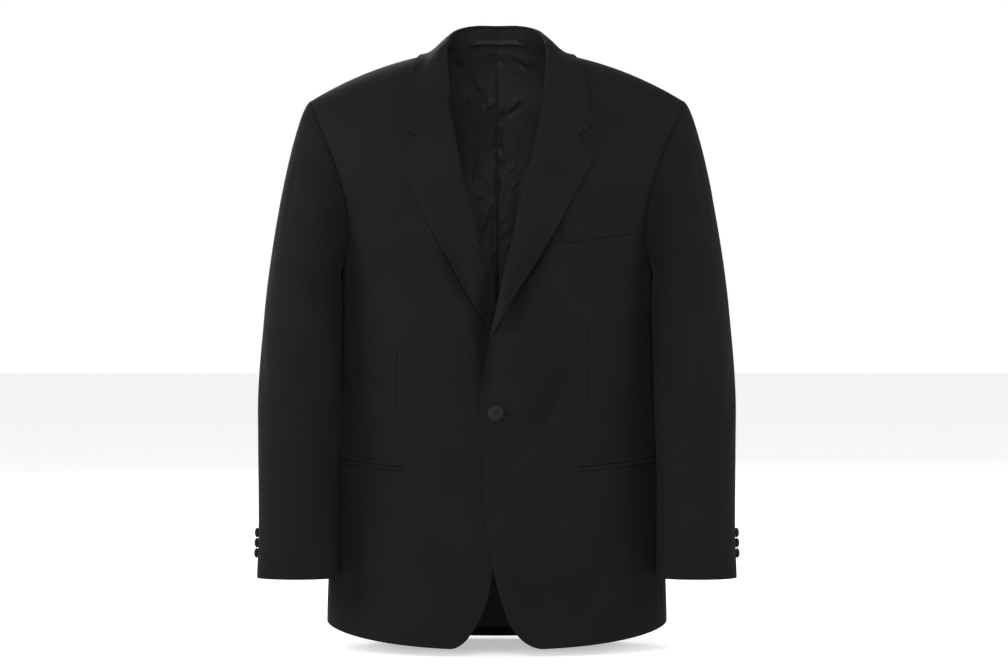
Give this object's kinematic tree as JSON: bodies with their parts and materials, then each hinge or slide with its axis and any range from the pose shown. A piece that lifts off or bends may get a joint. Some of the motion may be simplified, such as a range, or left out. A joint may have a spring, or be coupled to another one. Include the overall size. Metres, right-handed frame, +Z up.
{
  "type": "blazer",
  "caption": "Hollow single-breasted blazer in worn form, with notch lapels, long sleeves, a chest welt, jetted hip pockets and covered buttons.",
  "frame": {"origin": "middle of the neck opening, level with the neck ends of the shoulder seams", "axes": "+Z up from hem to collar, +X towards the wearer's left, -Y towards the front"},
  "size_m": [0.6192, 0.2567, 0.8129],
  "materials": {
    "cloth": "matt black fine worsted wool",
    "lining": "black satin weave, softly shiny",
    "button": "cloth-covered black button"
  },
  "bodies": {
    "root": {"front_left": "cloth", "front_right": "cloth", "side_panel_left": "cloth", "side_panel_right": "cloth", "back_left": "cloth", "back_right": "cloth", "lapel_left": "cloth", "lapel_right": "cloth", "top_sleeve_left": "cloth", "top_sleeve_right": "cloth", "under_sleeve_left": "cloth", "under_sleeve_right": "cloth", "collar_fall": "cloth", "collar_stand": "cloth", "chest_welt": "cloth", "pocket_jet_upper_left": "cloth", "pocket_jet_lower_left": "cloth", "pocket_jet_upper_right": "cloth", "pocket_jet_lower_right": "cloth", "lining_back_left": "lining", "lining_back_right": "lining", "hanger_loop": "lining", "front_button": "button", "sleeve_button_left_1": "button", "sleeve_button_left_2": "button", "sleeve_button_left_3": "button", "sleeve_button_right_1": "button", "sleeve_button_right_2": "button", "sleeve_button_right_3": "button"}
  },
  "joints": []
}
